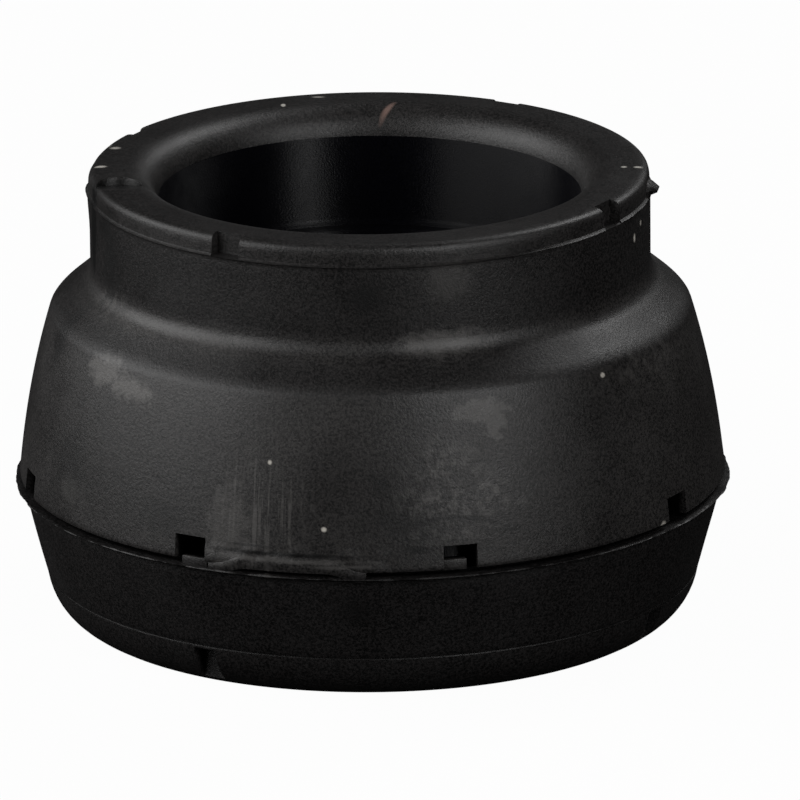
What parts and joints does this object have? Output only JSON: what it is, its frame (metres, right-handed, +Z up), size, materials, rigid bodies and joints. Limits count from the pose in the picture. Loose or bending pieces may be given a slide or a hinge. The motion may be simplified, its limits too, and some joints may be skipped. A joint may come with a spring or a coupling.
{
  "type": "strut mount",
  "caption": "Rubber strut mount: a moulded conical block with a plain neck, bonded round a stepped steel cup and a bearing plate with a rod hole",
  "frame": {"origin": "the middle of the foot's flat underside, on the part's own axis", "axes": "+Z up along the rod's axis, from the bearing side to the rim; +X to the right and -Y towards the viewer of the picture"},
  "size_m": [0.0818, 0.0818, 0.0516],
  "materials": {
    "rubber": "moulded matte",
    "cup_steel": "black dip coat, satin",
    "plate_steel": "black dip coat, satin"
  },
  "bodies": {
    "root": {"rubber_body": "rubber", "steel_cup": "cup_steel", "bearing_plate": "plate_steel"}
  },
  "joints": []
}
